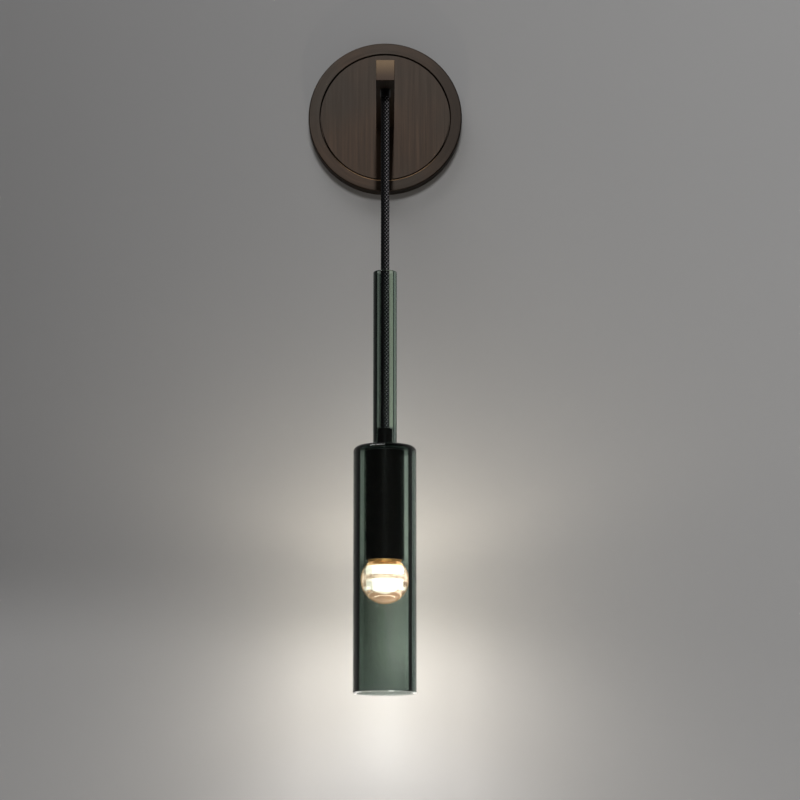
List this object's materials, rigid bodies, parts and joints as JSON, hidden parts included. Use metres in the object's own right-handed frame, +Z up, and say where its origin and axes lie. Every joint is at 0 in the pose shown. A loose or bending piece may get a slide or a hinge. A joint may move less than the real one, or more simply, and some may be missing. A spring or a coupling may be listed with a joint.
{
  "type": "tube wall light",
  "caption": "Wall light: a round rose with a square arm, from which a long flex hangs a slim lamp holder and ball lamp inside a narrow-necked tube of smoky glass.",
  "frame": {"origin": "on the wall, at the centre of the rose's back and of the two wall-screw slots", "axes": "+Z up, +Y into the wall, the light stands out towards -Y, +X to the right when seen from the room"},
  "size_m": [0.13, 0.148, 0.561],
  "materials": {
    "bronze_ring": "satin bronze lacquer, fine circular brushing",
    "bronze_plate": "satin bronze lacquer, fine vertical brushing",
    "bronze_arm": "satin bronze lacquer",
    "black_metal": "black semi-gloss lacquer",
    "zinc_steel": "bright zinc plate",
    "dark_screw": "blackened steel",
    "braid": "black textile braid with a fine diagonal weave",
    "core_brown": "brown wire insulation",
    "core_blue": "blue wire insulation",
    "core_green": "green and yellow wire insulation",
    "connector_plastic": "light grey moulded plastic",
    "terminal_brass": "tinned crimp terminals",
    "bush_plastic": "black nylon",
    "soft_washer": "black silicone",
    "socket_body": "off-white heat-resistant moulding",
    "contact_metal": "phosphor bronze spring strip",
    "smoke_glass": "clear blown glass with a green-grey tint",
    "pin_metal": "nickel-plated pins",
    "lamp_plastic": "white moulded plastic",
    "board_green": "printed circuit board with its parts",
    "lamp_ring": "amber polished brass",
    "board_white": "white-coated aluminium board",
    "light_chip": "yellow phosphor",
    "lit_core": "translucent diffuser, lit warm white",
    "clear_glass": "thick clear glass"
  },
  "bodies": {
    "wall_group": {"wall_bracket": "zinc_steel", "earth_tag": "terminal_brass", "earth_screw": "zinc_steel", "earth_link": "core_green", "rose_cover": "bronze_ring", "rose_grub_screws": "dark_screw", "rose_inner_plate": "bronze_plate", "plate_screws": "zinc_steel", "arm_flange": "zinc_steel", "flange_washers": "zinc_steel", "flange_nuts": "zinc_steel", "arm_tube": "bronze_arm", "arm_end_cap": "bronze_arm", "cord_exit_bush": "bush_plastic", "cord_stop_collar": "zinc_steel", "cord_stop_screw": "dark_screw", "flex_tail": "braid", "wire_connectors": "connector_plastic", "arm_lead_live": "core_brown", "arm_lead_neutral": "core_blue", "arm_lead_earth": "core_green"},
    "flex_top": {"flex_top": "braid"},
    "flex": {"flex": "braid"},
    "pendant": {"flex_end": "braid", "cord_grip": "black_metal", "grip_screw": "dark_screw", "hollow_nipple": "zinc_steel", "holder_cap": "black_metal", "holder_sleeve": "black_metal", "sleeve_screws": "dark_screw", "socket_bracket": "zinc_steel", "toothed_washer": "zinc_steel", "nipple_nut": "zinc_steel", "lamp_socket": "socket_body", "socket_screws": "zinc_steel", "socket_contacts": "contact_metal", "holder_lead_live": "core_brown", "holder_lead_neutral": "core_blue", "holder_earth_tag": "terminal_brass", "holder_lead_earth": "core_green", "shade_washer": "soft_washer"},
    "shade": {"glass_shade": "smoke_glass"},
    "lamp": {"lamp_pins": "pin_metal", "lamp_base": "lamp_plastic", "lamp_housing": "lamp_plastic", "driver_board": "board_green", "lamp_collar": "lamp_ring", "led_board": "board_white", "led_chips": "light_chip", "lamp_core": "lit_core", "lamp_ball": "clear_glass"}
  },
  "joints": [
    {"name": "swing_fore_aft", "type": "hinge", "parent": "wall_group", "child": "flex_top", "pos_m": [0, -0.1215, -0.016], "axis": [1, 0, 0], "range_deg": [-25, 11]},
    {"name": "swing_side", "type": "hinge", "parent": "flex_top", "child": "flex", "pos_m": [0, -0.1215, -0.024], "axis": [0, 1, 0], "range_deg": [-25, 25]},
    {"name": "twist", "type": "hinge", "parent": "flex", "child": "pendant", "pos_m": [0, -0.1215, -0.287], "axis": [0, 0, 1], "range_deg": [-180, 180]},
    {"name": "shade_lift", "type": "slide", "parent": "pendant", "child": "shade", "axis": [0, 0, 1], "range_m": [0, 0.14]},
    {"name": "lamp_pull", "type": "slide", "parent": "pendant", "child": "lamp", "axis": [0, 0, -1], "range_m": [0, 0.05]}
  ]
}
